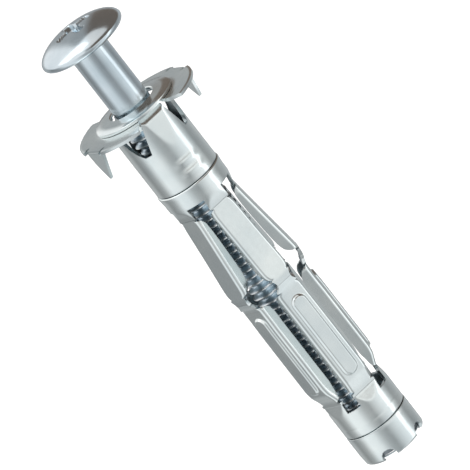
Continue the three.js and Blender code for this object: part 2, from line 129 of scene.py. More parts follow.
def plate(outer, inner, keep=None, around=False):
    """Closed sheet between two grids of points. Faces are the kept cells of both grids, and each
    free edge of the kept cells gets a wall from one grid to the other. The mark is 1 at these
    sheared edges, -1 on the inner side and 0 on the outer one."""
    rows, cols = outer.shape[:2]
    cells = cols if around else cols - 1
    kept = np.ones((rows - 1, cells), bool) if keep is None else keep
    r, c = np.nonzero(kept)
    c1 = (c + 1) % cols
    shift = rows * cols
    a, b, d, e = r * cols + c, r * cols + c1, (r + 1) * cols + c1, (r + 1) * cols + c
    faces = [np.stack([a, b, d, e], 1), np.stack([e, d, b, a], 1) + shift]
    padded = np.zeros((rows + 1, cells + 2), bool)
    padded[1:-1, 1:-1] = kept
    if around:
        padded[1:-1, 0] = kept[:, -1]
        padded[1:-1, -1] = kept[:, 0]
    free = [
        (kept & ~padded[:-2, 1:-1], "a", "b"),
        (kept & ~padded[2:, 1:-1], "d", "e"),
        (kept & ~padded[1:-1, :-2], "e", "a"),
        (kept & ~padded[1:-1, 2:], "b", "d"),
    ]
    # the inner grid's points start at -1, where the sheet's finish paints shade
    edge = np.repeat([0.0, -1.0], shift)
    for open_side, first, second in free:
        r, c = np.nonzero(open_side)
        c1 = (c + 1) % cols
        at = {"a": r * cols + c, "b": r * cols + c1,
              "d": (r + 1) * cols + c1, "e": (r + 1) * cols + c}
        p, q = at[first], at[second]
        faces.append(np.stack([q, p, p + shift, q + shift], 1))
        for ids in (p, q):
            edge[ids] = 1.0
            edge[ids + shift] = 1.0
    used = np.concatenate(faces)
    points = np.concatenate([outer.reshape(-1, 3), inner.reshape(-1, 3)])
    ids, packed = np.unique(used, return_inverse=True)
    return points[ids], packed.reshape(-1, 4), edge[ids]


def joined(*parts):
    """Several closed shells as one list of points, faces and edge marks."""
    points, faces, edges, start = [], [], [], 0
    for p, f, e in parts:
        points.append(p)
        faces.append(f + start)
        edges.append(e)
        start += len(p)
    return np.concatenate(points), np.concatenate(faces), np.concatenate(edges)


def turned_plate(profile, steps=144, mark=0.0):
    """Closed ring: a closed profile of (radius, height) carried once round the axis."""
    prof = np.asarray(profile, float)
    angle = np.arange(steps) * 360.0 / steps
    grid = round_about(prof[:, None, 0], angle[None, :], prof[:, None, 1])
    rows = len(prof)
    r, c = np.meshgrid(np.arange(rows), np.arange(steps), indexing="ij")
    r1, c1 = (r + 1) % rows, (c + 1) % steps
    faces = np.stack([r * steps + c, r * steps + c1, r1 * steps + c1, r1 * steps + c], -1)
    points = grid.reshape(-1, 3)
    return points, faces.reshape(-1, 4), np.full(len(points), mark)


def turned_to(points, angle):
    """Points turned about the screw's axis by an angle in degrees."""
    cosine, sine = math.cos(math.radians(angle)), math.sin(math.radians(angle))
    turn = np.array([[cosine, -sine, 0.0], [sine, cosine, 0.0], [0.0, 0.0, 1.0]])
    return points @ turn.T


# ---- Finishes ----------------------------------------------------------------------------

def effect_group(name, inputs, outputs):
    """Empty shader node group with named float or colour sockets."""
    group = bpy.data.node_groups.new(name, "ShaderNodeTree")
    for label, kind, value in inputs:
        socket = group.interface.new_socket(label, in_out="INPUT", socket_type=kind)
        socket.default_value = value
    for label, kind in outputs:
        group.interface.new_socket(label, in_out="OUTPUT", socket_type=kind)
    nodes = group.nodes
    return group, nodes.new("NodeGroupInput"), nodes.new("NodeGroupOutput")


def plating_group():
    """Zinc plating: broad cloudy patches, a fine grain and faint drawing lines along the screw's
    axis, from noise on the piece's own coordinates."""
    group, given, made = effect_group(
        "zinc_plating",
        [("Cloud Scale", "NodeSocketFloat", 260.0), ("Grain Scale", "NodeSocketFloat", 2600.0),
         ("Line Strength", "NodeSocketFloat", 0.8)],
        [("Cloud", "NodeSocketFloat"), ("Grain", "NodeSocketFloat"), ("Height", "NodeSocketFloat")],
    )
    nodes, link = group.nodes, group.links.new
    place = nodes.new("ShaderNodeTexCoord")
    cloud = nodes.new("ShaderNodeTexNoise")
    cloud.inputs["Detail"].default_value = 3.0
    grain = nodes.new("ShaderNodeTexNoise")
    grain.inputs["Detail"].default_value = 2.0
    stretch = nodes.new("ShaderNodeMapping")
    stretch.inputs["Scale"].default_value = (1.0, 1.0, 0.03)
    lines = nodes.new("ShaderNodeTexNoise")
    lines.inputs["Scale"].default_value = 3200.0
    lines.inputs["Detail"].default_value = 1.0
    link(place.outputs["Object"], cloud.inputs["Vector"])
    link(place.outputs["Object"], grain.inputs["Vector"])
    link(place.outputs["Object"], stretch.inputs["Vector"])
    link(stretch.outputs["Vector"], lines.inputs["Vector"])
    link(given.outputs["Cloud Scale"], cloud.inputs["Scale"])
    link(given.outputs["Grain Scale"], grain.inputs["Scale"])
    weigh = nodes.new("ShaderNodeMath")
    weigh.operation = "MULTIPLY"
    link(lines.outputs["Fac"], weigh.inputs[0])
    link(given.outputs["Line Strength"], weigh.inputs[1])
    total = nodes.new("ShaderNodeMath")
    total.operation = "MULTIPLY_ADD"
    total.inputs[1].default_value = 0.35
    link(grain.outputs["Fac"], total.inputs[0])
    link(weigh.outputs["Value"], total.inputs[2])
    link(cloud.outputs["Fac"], made.inputs["Cloud"])
    link(grain.outputs["Fac"], made.inputs["Grain"])
    link(total.outputs["Value"], made.inputs["Height"])
    return group


PLATING = plating_group()


def blend(nodes, link, amount, first, second):
    """Mixes two colours by an amount; each may be a socket or a plain colour."""
    mix = nodes.new("ShaderNodeMix")
    mix.data_type = "RGBA"
    link(amount, mix.inputs[0])
    for value, socket in ((first, mix.inputs[6]), (second, mix.inputs[7])):
        if isinstance(value, tuple):
            socket.default_value = (*value, 1.0)
        else:
            link(value, socket)
    return mix.outputs[2]


def share_of(nodes, link, socket, low, high, to_low=0.0, to_high=1.0):
    """Maps a value from low..high to to_low..to_high, held at both ends."""
    scale = nodes.new("ShaderNodeMapRange")
    for label, value in (("From Min", low), ("From Max", high), ("To Min", to_low), ("To Max", to_high)):
        scale.inputs[label].default_value = value
    link(socket, scale.inputs["Value"])
    return scale.outputs["Result"]


def zinc(name, light, shade, rough, rough_span, bump, cloud=260.0, lines=0.8, mark=None):
    """Zinc-plated steel: colour between light and shade by the cloudy patches, roughness by the
    grain. On sheet, sheared edges are duller, and the inner side is rougher and takes painted
    shade; on the screw, the thread's valleys take a painted blue-grey tone that stands in for their
    shade, and the crests get a painted highlight."""
    material = bpy.data.materials.new(name)
    material.use_nodes = True
    nodes, link = material.node_tree.nodes, material.node_tree.links.new
    shader = nodes["Principled BSDF"]
    shader.inputs["Metallic"].default_value = 1.0
    plating = nodes.new("ShaderNodeGroup")
    plating.node_tree = PLATING
    plating.inputs["Cloud Scale"].default_value = cloud
    plating.inputs["Line Strength"].default_value = lines
    tone = share_of(nodes, link, plating.outputs["Cloud"], 0.32, 0.68)
    colour = blend(nodes, link, tone, shade, light)
    rough_out = share_of(nodes, link, plating.outputs["Grain"], 0.3, 0.7,
                         rough - rough_span, rough + rough_span)
    if mark is not None:
        reader = nodes.new("ShaderNodeAttribute")
        reader.attribute_name = mark
    if mark == "sheared_edge_and_painted_inner_shade":
        sheared = share_of(nodes, link, reader.outputs["Fac"], 0.3, 1.0, 0.0, 0.3)
        # painted shade: where the mark nears -1 (the sheet's inner side) the colour goes to a darker blue-grey
        inside = share_of(nodes, link, reader.outputs["Fac"], 0.0, -0.6)
        colour = blend(nodes, link, sheared, colour, (0.40, 0.44, 0.46))
        colour = blend(nodes, link, inside, colour, (0.46, 0.53, 0.56))
        duller = nodes.new("ShaderNodeMath")
        duller.operation = "MULTIPLY_ADD"
        duller.inputs[1].default_value = 0.2
        link(inside, duller.inputs[0])
        link(rough_out, duller.inputs[2])
        rough_out = duller.outputs["Value"]
    if mark == "thread_height":
        # painted shade tone: the thread's valleys get a fixed blue-grey that stands in for their shade
        valley = share_of(nodes, link, reader.outputs["Fac"], 0.45, 0.8)
        colour = blend(nodes, link, valley, (0.70, 0.81, 0.88), colour)
        # painted highlight: the thread's crests are blended towards near white
        painted_crest_highlight = share_of(nodes, link, reader.outputs["Fac"], 0.8, 0.97)
        on_thread = share_of(nodes, link, reader.outputs["Fac"], 0.985, 1.0, 1.0, 0.0)
        crest = nodes.new("ShaderNodeMath")
        crest.operation = "MULTIPLY"
        link(painted_crest_highlight, crest.inputs[0])
        link(on_thread, crest.inputs[1])
        colour = blend(nodes, link, crest.outputs["Value"], colour, (0.98, 1.0, 1.0))
        duller = nodes.new("ShaderNodeMath")
        duller.operation = "MULTIPLY_ADD"
        duller.inputs[1].default_value = 0.16
        link(on_thread, duller.inputs[0])
        link(rough_out, duller.inputs[2])
        rough_out = duller.outputs["Value"]
    link(colour, shader.inputs["Base Color"])
    link(rough_out, shader.inputs["Roughness"])
    relief = nodes.new("ShaderNodeBump")
    relief.inputs["Strength"].default_value = bump
    relief.inputs["Distance"].default_value = 0.00001
    link(plating.outputs["Height"], relief.inputs["Height"])
    link(relief.outputs["Normal"], shader.inputs["Normal"])
    return material


ZINC_SHEET = zinc("zinc_sheet", (0.87, 0.91, 0.90), (0.74, 0.80, 0.81), 0.19, 0.03, 0.12,
                  mark="sheared_edge_and_painted_inner_shade")
ZINC_SCREW = zinc("zinc_screw", (0.72, 0.79, 0.83), (0.57, 0.65, 0.70), 0.18, 0.03, 0.10,
                  mark="thread_height")
# painted shade: the nut's zinc is a much darker copy of the sheet's, for a part seen in shadow
ZINC_NUT_PAINTED_SHADE = zinc("zinc_nut", (0.30, 0.33, 0.35), (0.20, 0.22, 0.24), 0.34, 0.05, 0.15)


def place(obj, body, node, slot, material):
    """The piece gets its finish, stands for its CAD node and moves with its body."""
    obj.data.materials.clear()
    obj.data.materials.append(material)
    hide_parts(node)
    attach(obj, body)
    return obj


# ---- Screw -------------------------------------------------------------------------------

def head_height(radius):
    """Mushroom head: a low crown that rounds over steeply at the rim, height = rim + rise times
    (1 - (radius / reach) ^ 2.3) ^ 0.56."""
    rise, reach, rim = 1.36, 4.02, 7.86
    return rim + rise * (1.0 - np.clip(radius / reach, 0.0, 1.0) ** 2.3) ** 0.56


def recess_depth(x, y):
    """Cross recess: each arm is a slot with sloping walls whose floor rises towards its end. The
    deepest of the two arms and the round middle counts."""
    def arm(along, across):
        wide = 1.0 - ease(np.abs(across), 0.27, 0.42)
        floor = 1.2 - 0.42 * np.abs(along)
        return wide * floor * (1.0 - ease(np.abs(along), 1.45, 1.75))
    centre = 1.25 * (1.0 - ease(np.hypot(x, y), 0.45, 0.75))
    return np.maximum(np.maximum(arm(x, y), arm(y, x)), centre)


def screw_mesh():
    """Head and shank are a profile turned about the axis, with the recess pressed into the dome.
    The thread is a sheared grid: each row follows the helix and rises one pitch a turn, so the
    seam joins a row to the one a pitch higher. Radius is a rounded ridge of the height's phase."""
    steps, per_pitch = 96, 8
    angle = np.arange(steps) * 360.0 / steps
    radii = np.concatenate([np.linspace(0.0, 2.1, 46), np.linspace(2.2, 3.6, 12),
                            [3.72, 3.82, 3.9, 3.95, 3.99, 4.01]])[1:]
    top = round_about(radii[:, None], angle[None, :], 0.0)
    top[..., 2] = head_height(radii)[:, None] - recess_depth(top[..., 0], top[..., 1])
    side = np.array([
        [4.02, 7.86], [4.01, 7.76], [3.97, 7.66], [3.9, 7.57], [3.79, 7.49], [3.64, 7.43], [3.45, 7.4],
        [2.7, 7.4], [2.0, 7.4], [1.86, 7.34], [1.78, 7.24], [SHANK, 7.12], [SHANK, 5.0], [SHANK, 2.5],
        [SHANK, 0.2],
    ])
    lower = round_about(side[:, None, 0], angle[None, :], side[:, None, 1])
    head = np.concatenate([top, lower])
    rows = head.shape[0]
    r, c = np.meshgrid(np.arange(rows - 1), np.arange(steps), indexing="ij")
    c1 = (c + 1) % steps
    head_faces = np.stack([r * steps + c, (r + 1) * steps + c, (r + 1) * steps + c1, r * steps + c1], -1)
    head_faces = head_faces.reshape(-1, 4)
    points = [head.reshape(-1, 3)]
    start, stop = 0.2, -36.5
    ring = steps
    a = np.arange(ring + 1) * 360.0 / ring
    count = int(math.ceil((start - stop) / PITCH)) + 2
    row = np.arange(count * per_pitch + 1)
    z = start + PITCH - PITCH * row[:, None] / per_pitch + PITCH * a[None, :] / 360.0 - PITCH
    level = np.clip(z, stop, start)
    phase = (level / PITCH - a[None, :] / 360.0) % 1.0
    ridge = ease(np.abs(2.0 * phase - 1.0), 0.05, 0.92)
    body = SHANK + (THREAD_ROOT + THREAD_DEPTH * ridge - SHANK) * ease(-level, 0.1, 0.75)
    body = body - 0.42 * ease(-level, 36.0, 36.5)
    crest = np.where(level > -0.1, 1.0, 0.98 * np.clip((body - THREAD_ROOT) / THREAD_DEPTH, 0.0, 1.0))
    thread = round_about(np.minimum(body, THREAD_ROOT + THREAD_DEPTH), np.broadcast_to(a[None, :], body.shape), 0.0)
    thread[..., 2] = level
    # columns: the last repeats the first a pitch higher, so it takes the first one's points
    base = len(points[0])
    n_rows = thread.shape[0]
    points.append(thread[:, :ring].reshape(-1, 3))
    r, c = np.meshgrid(np.arange(n_rows - 1), np.arange(ring), indexing="ij")
    last = c == ring - 1

    def at(rr, cc, wrap):
        return np.where(wrap, np.maximum(rr - per_pitch, 0) * ring, rr * ring + cc)

    right0, right1 = at(r, c + 1, last), at(r + 1, c + 1, last)
    quads = np.stack([r * ring + c, (r + 1) * ring + c, right1, right0], -1) + base
    marks = np.concatenate([np.ones(base), crest[:, :ring].ravel()])
    return np.concatenate(points), head_faces, quads.reshape(-1, 4), marks


def make_screw():
    """Head, shank and thread as one closed body, with the recess in the dome."""
    points, head_faces, thread_faces, marks = screw_mesh()
    mesh = bpy.data.meshes.new("screw_with_thread")
    mesh.from_pydata((points * MM).tolist(), [], head_faces.tolist() + thread_faces.tolist())
    height = mesh.attributes.new("thread_height", "FLOAT", "POINT")
    height.data.foreach_set("value", marks.astype(np.float32))
    mesh.update()
    obj = bpy.data.objects.new("screw_with_thread", mesh)
    bpy.context.scene.collection.objects.link(obj)
    clean(obj, fill=True)
    mesh.polygons.foreach_set("use_smooth", np.ones(len(mesh.polygons), bool))
    mesh.set_sharp_from_angle(angle=math.radians(48.0))
    return obj


screw = place(make_screw(), "screw", "screw", "zinc_screw", ZINC_SCREW)


# ---- Flange, claws and collar ------------------------------------------------------------

def tab_edges(height):
    """Half angles of the broad tab (straight sides) and of the narrow one (concave sides)."""
    t = np.clip(-height / 2.93, 0.0, 1.0)
    broad = 23.5 + 16.5 * t
    narrow = 13.0 + 24.0 * t ** 2.4
    return broad, narrow


def barrel():
    """Round collar as a grid of angle and height. Above the openings' foot the columns follow the
    tabs' edges, and the cells between the tabs are left out."""
    up = np.linspace(0.3, -2.93, 27)
    down = np.linspace(-2.93, Z_COLLAR_END + 0.04, 25)[1:]
    heights = np.concatenate([up, down])
    broad, narrow = tab_edges(np.maximum(heights, -2.93))
    per = (14, 12, 10)
    columns, kinds = [], []
    for side in (0, 180):
        middle = FRONT + side
        b, n = broad, narrow
        spans = [
            (middle - b, middle + b, 2 * per[0], 1),
            (middle + b, middle + 90.0 - n, per[1], 0),
            (middle + 90.0 - n, middle + 90.0 + n, 2 * per[2], 1),
            (middle + 90.0 + n, middle + 180.0 - b, per[1], 0),
        ]
        for low, high, count, kind in spans:
            t = np.arange(count) / count
            columns.append(low[:, None] + (high - low)[:, None] * t[None, :])
            kinds.extend([kind] * count)
    angle = np.concatenate(columns, axis=1)
    keep = np.ones((len(heights) - 1, angle.shape[1]), bool)
    keep[: len(up) - 1, np.array(kinds) == 0] = False
    z = np.broadcast_to(heights[:, None], angle.shape)
    from_front = np.abs((angle - FRONT + 180.0) % 360.0 - 180.0)
    near = np.minimum(from_front, 180.0 - from_front)
    # the broad tabs are flat, lean in towards the flange and bend over at the top
    flat = 2.86 + 0.19 * np.clip(-z / 3.3, 0.0, 1.0) - 0.3 * ease(z, -0.5, 0.5)
    facet = flat / np.cos(np.radians(np.minimum(near, 60.0)))
    reach = np.where(near < 60.0, np.minimum(SLEEVE, facet), SLEEVE)
    # plain raised bars on the broad faces, in place of any mark
    bars = sum(bump_between(z, low, low + 0.22, 0.24) for low in (-6.1, -5.1))
    reach = reach + 0.07 * bars * (1.0 - ease(near, 10.0, 26.0))
    outer = round_about(reach, angle, 0.0)
    outer[..., 2] = z
    inner = round_about(reach - SHEET, angle, 0.0)
    inner[..., 2] = z
    return plate(outer, inner, keep, around=True)


def wing(side):
    """Half of the flange: a grid of angle and radius, dished towards the collar, with a flat rim.
    Its ends follow the gaps' flared edges, a parabola whose half width is read off at each radius.
    Columns follow the claw's straight sides; over the claw the rim is cut back to a chord."""
    radius = np.linspace(2.76, FLANGE - 0.03, 40)
    t = np.linspace(0.0, 1.0, 60)
    edge_x = (1 - t) ** 2 * 1.35 + 2 * t * (1 - t) * 1.8 + t ** 2 * 3.5
    edge_y = (1 - t) ** 2 * 3.05 + 2 * t * (1 - t) * 4.85 + t ** 2 * 6.3
    gap = np.interp(radius, np.hypot(edge_x, edge_y), edge_x)
    half = 90.0 - np.degrees(np.arcsin(np.clip(gap / radius, 0.0, 1.0)))
    tooth = np.degrees(np.arcsin(CLAW_HALF / radius))
    relief = np.degrees(np.arcsin((CLAW_HALF + 0.22) / radius))
    columns, kinds = [], []
    spans = [(-half, CLAW_ANGLE - relief, 30, 0), (CLAW_ANGLE - relief, CLAW_ANGLE - tooth, 3, 1),
             (CLAW_ANGLE - tooth, CLAW_ANGLE + tooth, 24, 2), (CLAW_ANGLE + tooth, CLAW_ANGLE + relief, 3, 1),
             (CLAW_ANGLE + relief, half, 30, 0)]
    for low, high, count, kind in spans:
        t = np.arange(count) / count
        columns.append(low[:, None] + (high - low)[:, None] * t[None, :])
        kinds.extend([kind] * count)
    angle = np.concatenate(columns + [half[:, None]], axis=1)
    kinds = np.array(kinds + [0])
    chord = 5.36 / np.cos(np.radians(angle - CLAW_ANGLE))
    share = (radius - radius[0]) / (radius[-1] - radius[0])
    cut_back = radius[0] + (np.minimum(chord, radius[-1]) - radius[0]) * share[:, None]
    reach = np.where(kinds[None, :] == 2, cut_back, radius[:, None])
    drop = FLANGE_RISE * (1.0 - ease(reach, 2.9, 4.35))
    rolled = -0.05 * ease(reach, 5.5, 5.8)
    top = round_about(reach, side + angle, drop + rolled + SHEET)
    low = round_about(reach, side + angle, np.maximum(drop + rolled, 0.0))
    notch = (kinds[None, :-1] == 1) & (radius[:-1, None] > 5.08)
    return plate(top, low, ~notch, around=False)


def bent_claw(side):
    """Claw: a strip that leaves the flange level and bends down round a quarter circle. Its grid is
    the distance along the strip by the share across it; below the bend one edge runs straight to
    the point and the other bulges, as the square of the distance."""
    bend, start = 0.36, 4.7
    level = 5.4 - bend - start
    drop = 2.7 - bend + 0.3
    s = np.concatenate([np.linspace(0, level, 5), level + np.linspace(0, bend * math.pi / 2, 12)[1:],
                        level + bend * math.pi / 2 + np.linspace(0, drop, 26)[1:]])
    arc = np.clip((s - level) / bend, 0.0, math.pi / 2)
    past = np.maximum(s - level - bend * math.pi / 2, 0.0)
    out = start + np.minimum(s, level) + bend * np.sin(arc)
    down = SHEET - 0.02 - bend * (1.0 - np.cos(arc)) - past
    q = past / drop
    straight = CLAW_HALF - (CLAW_HALF + 0.57) * q
    bulged = -CLAW_HALF + (CLAW_HALF - 0.6) * q ** 2
    t = np.linspace(0.0, 1.0, 13)
    y = bulged[:, None] + (straight - bulged)[:, None] * t[None, :]
    outer = np.stack([out[:, None] + 0 * y, y, down[:, None] + 0 * y], -1)
    nx, nz = np.sin(arc), np.cos(arc)
    inner = outer - SHEET * 0.9 * np.stack([nx[:, None] + 0 * y, 0 * y, nz[:, None] + 0 * y], -1)
    p, f, e = plate(outer, inner)
    p[:, 2] = np.maximum(p[:, 2], -2.7)
    return turned_to(p, side + CLAW_ANGLE), f, np.maximum(e, 0.0)


def collar_spigot():
    """Inner sleeve below the collar that the neck ring laps over."""
    # marked -1 as inner side throughout, so the finish paints the whole spigot with shade
    return turned_plate([[2.74, -6.9], [2.74, -8.28], [2.46, -8.28], [2.46, -6.9]], 96, -1.0)


parts = [barrel(), wing(0.0), wing(180.0), bent_claw(0.0), bent_claw(180.0), collar_spigot()]
collar = make_mesh("collar_with_flange", *joined(*parts), bevel=0.055)
place(collar, "collar", "flange_collar", "zinc_sheet", ZINC_SHEET)


def top_ring():
    """Washer-like ring on the flange: its top falls gently outwards and its rims are rounded."""
    slope = FLANGE_RISE / 1.57
    def level(radius):
        return 0.55 + (2.73 - radius) * slope
    outline = [[2.17, level(2.17) + 0.04], [2.17, level(2.17) + 0.24], [2.25, level(2.25) + 0.32],
               [3.0, level(3.0) + 0.32], [3.7, level(3.7) + 0.32], [3.81, level(3.8) + 0.25],
               [3.83, level(3.83) + 0.12], [3.8, level(3.8) + 0.01], [3.0, level(3.0)]]
    return turned_plate(outline, 144)


ring = make_mesh("ring_on_flange", *top_ring())
place(ring, "collar", "top_ring", "zinc_sheet", ZINC_SHEET)


# ---- Rings that carry the legs -----------------------------------------------------------

def slotted_ring(profile, slot_level, flats, strip_half, above):
    """Ring with five strips that carry the legs. Each row has a height and a radius; over a leg the
    radius is cut down to a flat facet, facet distance / cos(angle from the leg's middle), which
    leaves a curved lower edge. Beyond the slot level only the cells over a leg are kept."""
    prof, flat = np.asarray(profile, float), np.asarray(flats, float)
    height, reach = prof[:, 0], prof[:, 1]
    order = np.argsort(flat[:, 0])
    facet = np.interp(height, flat[order, 0], flat[order, 1])
    half = np.degrees(np.arctan(strip_half / facet))
    columns, kinds, from_leg = [], [], []
    for middle in LEG_ANGLES:
        for low, high, count, kind in ((-half, half, 24, 1), (half, 72.0 - half, 16, 0)):
            t = np.arange(count) / count
            away = low[:, None] + (high - low)[:, None] * t[None, :]
            columns.append(middle + away)
            from_leg.append(np.abs((away + 36.0) % 72.0 - 36.0))
            kinds.extend([kind] * count)
    angle, away = np.concatenate(columns, axis=1), np.concatenate(from_leg, axis=1)
    radius = np.minimum(reach[:, None], facet[:, None] / np.cos(np.radians(away)))
    middle = (height[:-1] + height[1:]) / 2.0
    slotted = middle > slot_level if above else middle < slot_level
    keep = np.ones((len(height) - 1, angle.shape[1]), bool)
    keep[np.ix_(slotted, np.array(kinds) == 0)] = False
    outer = round_about(radius, angle, height[:, None])
    inner = round_about(radius - SHEET, angle, height[:, None])
    return plate(outer, inner, keep, around=True)


neck_rows = [-7.03, -7.07, -7.13, -7.2, -7.5, -8.0, -8.3, -8.5, Z_NECK_SLOTS, -8.85,
             -9.0, -9.15, -9.3, -9.45, -9.6, -9.7, Z_NECK_CREASE + CREASE]
neck_radii = [3.03, 3.09, 3.13, 3.14, 3.1, 3.06, 3.06, 3.06, 3.05, 3.04, 3.03, 3.02, 3.01, 3.0, 3.0, 3.0, 3.0]
neck_flats = [[-7.0, 3.3], [-8.5, 3.12], [-8.9, 3.0], [-9.3, 2.88], [-9.6, 2.815], [Z_NECK_CREASE, WAIST]]
neck_profile = list(zip(neck_rows, neck_radii))
neck_shape = slotted_ring(neck_profile, Z_NECK_SLOTS, neck_flats, NECK_STRIP, above=False)
neck = make_mesh("neck_ring", *neck_shape, bevel=0.02)
place(neck, "collar", "sleeve_neck", "zinc_sheet", ZINC_SHEET)

foot_rows = [Z_FOOT_CREASE - CREASE, -30.65, -30.8, -30.95, -31.1, -31.25, -31.4, Z_FOOT_SLOTS,
             -31.7, -31.85, -32.0, -32.4, -33.0, -33.08, -33.12, -33.2, -33.85, -33.93, -33.97]
foot_radii = [3.02] * 13 + [3.02, 3.008, 3.02, 3.02, 3.01, 2.98]
foot_flats = [[Z_FOOT_CREASE, WAIST], [-30.65, 2.805], [-31.7, 3.02], [-32.2, 3.3], [-34.0, 3.4]]
foot_profile = list(zip(foot_rows, foot_radii))
foot_shape = slotted_ring(foot_profile, Z_FOOT_SLOTS, foot_flats, FOOT_STRIP, above=True)
foot = make_mesh("foot_ring", *foot_shape, bevel=0.02)
place(foot, "foot", "sleeve_foot", "zinc_sheet", ZINC_SHEET)


# ---- Legs --------------------------------------------------------------------------------

def smooth_line(points, at):
    """Heights of a curve through points by monotone cubic pieces, whose slopes never overshoot."""
    x, y = np.array(points, float).T
    if x[0] > x[-1]:
        x, y = x[::-1], y[::-1]
    step, rise = np.diff(x), np.diff(y)
    grade = rise / step
    slope = np.concatenate([[grade[0]], np.zeros(len(x) - 2), [grade[-1]]])
    same = grade[:-1] * grade[1:] > 0
    slope[1:-1][same] = (2.0 * grade[:-1] * grade[1:] / np.where(same, grade[:-1] + grade[1:], 1.0))[same]
    i = np.clip(np.searchsorted(x, at) - 1, 0, len(x) - 2)
    t = np.clip((at - x[i]) / step[i], 0.0, 1.0)
    return ((1 + 2 * t) * (1 - t) ** 2 * y[i] + t * (1 - t) ** 2 * step[i] * slope[i]
            + t * t * (3 - 2 * t) * y[i + 1] + t * t * (t - 1) * step[i] * slope[i + 1])


def channel(face, width, depth, bead=None, rows=120, bend=0.34):
    """Leg as one folded sheet. Along the leg the web stands at face(height). Across it the sheet is
    laid flat first: developed half width = flat web + quarter bend + flank, and each point's place is
    its distance along that section, so a short section never reaches the bend. The inner side is
    the outer one moved one sheet along the section's normal."""
    high, low = max(p[0] for p in face), min(p[0] for p in face)
    z = np.linspace(high, low, rows)
    reach = smooth_line(face, z)
    w = smooth_line(width, z)
    d = np.maximum(smooth_line(depth, z), 0.0)
    flat = w - bend
    quarter = bend * math.pi / 2
    full = flat + np.where(d > bend, quarter + d - bend, quarter * np.clip(d / bend, 0.0, 1.0))
    full = np.where(d <= 0.001, w, full)
    u = np.linspace(0.0, 1.0, 44)
    share = np.concatenate([-u[::-1], u[1:]])
    s = np.abs(share)[None, :] * full[:, None]
    sign = np.sign(share)[None, :]
    f = flat[:, None]
    can_bend = (d > 0.001)[:, None]
    turn = np.where(can_bend, np.clip((s - f) / bend, 0.0, math.pi / 2), 0.0)
    past = np.where(can_bend, np.maximum(s - f - quarter, 0.0), 0.0)
    x = np.where(can_bend, np.minimum(s, f) + bend * np.sin(turn), s) * sign
    inwards = bend * (1.0 - np.cos(turn)) + past
    lift = 0.0
    if bead is not None:
        top, bottom, half, height = bead
        near = np.clip(z[:, None], bottom + half, top - half)
        away = np.hypot(x, z[:, None] - near) - half
        lift = height * (1.0 - ease(away, -0.17, 0.02))
    radial = reach[:, None] - inwards + lift
    nx, ny = np.sin(turn) * sign, np.cos(turn)
    outer = np.stack([radial, x, np.broadcast_to(z[:, None], x.shape)], -1)
    inner = np.stack([radial - SHEET * ny, x - SHEET * nx, np.broadcast_to(z[:, None], x.shape)], -1)
    return plate(outer, inner)


def upper_leg():
    """Upper leg: flat web that widens and leans out to the knee; the flanks end in rounded lobes."""
    high, low = Z_NECK_CREASE - CREASE, Z_KNEE + CREASE
    face = [[high, WAIST], [-10.1, 2.83], [-11.0, 2.93], [-14.0, 3.28], [-17.3, 3.68], [-17.95, 3.745], [low, 3.7]]
    width = [[high, NECK_STRIP], [-10.15, 1.12], [-10.7, 1.19], [-13.5, 1.21], [-16.7, 1.25], [-17.2, 1.22],
             [-17.6, 1.08], [-17.95, 0.86], [-18.2, 0.76], [low, 0.74]]
    depth = [[high, 0.0], [-9.9, 0.03], [-10.2, 0.42], [-10.8, 0.7], [-14.0, 0.98], [-16.2, 1.08], [-16.9, 0.98],
             [-17.2, 0.8], [-17.45, 0.52], [-17.65, 0.1], [-17.75, 0.0], [low, 0.0]]
    return channel(face, width, depth)


def lower_leg():
    """Lower leg: dips from the knee to the flat shin with its raised bead, then curves in."""
    high, low = Z_KNEE - CREASE, Z_FOOT_CREASE + CREASE
    face = [[high, 3.7], [-18.8, 3.56], [-19.2, 3.41], [-19.6, 3.34], [-20.4, 3.34], [-22.0, 3.37], [-28.2, 3.38],
            [-28.9, 3.3], [-29.5, 3.09], [-30.0, 2.9], [-30.3, 2.825], [low, WAIST]]
    width = [[high, 0.74], [-18.6, 0.78], [-18.9, 0.98], [-19.2, 1.18], [-19.6, 1.28], [-28.3, 1.3], [-29.3, 1.28],
             [-30.0, 1.25], [low, FOOT_STRIP]]
    depth = [[high, 0.0], [-19.1, 0.0], [-19.2, 0.1], [-19.4, 0.55], [-19.65, 0.82], [-20.0, 1.0], [-20.5, 1.07],
             [-28.2, 1.07], [-29.2, 0.78], [-29.8, 0.45], [-30.15, 0.1], [-30.3, 0.0], [low, 0.0]]
    return channel(face, width, depth, bead=(-20.15, -28.75, 0.75, 0.19), rows=170)


for number, angle in enumerate(LEG_ANGLES, start=1):
    for label, shape in (("upper_leg", upper_leg), ("lower_leg", lower_leg)):
        points, faces, edge = shape()
        leg = make_mesh(f"{label}_sheet_{number}", turned_to(points, angle), faces, edge, bevel=0.02)
        place(leg, f"{label}_{number}", f"{label}_{number}", "zinc_sheet", ZINC_SHEET)


# ---- End cap and nut ---------------------------------------------------------------------

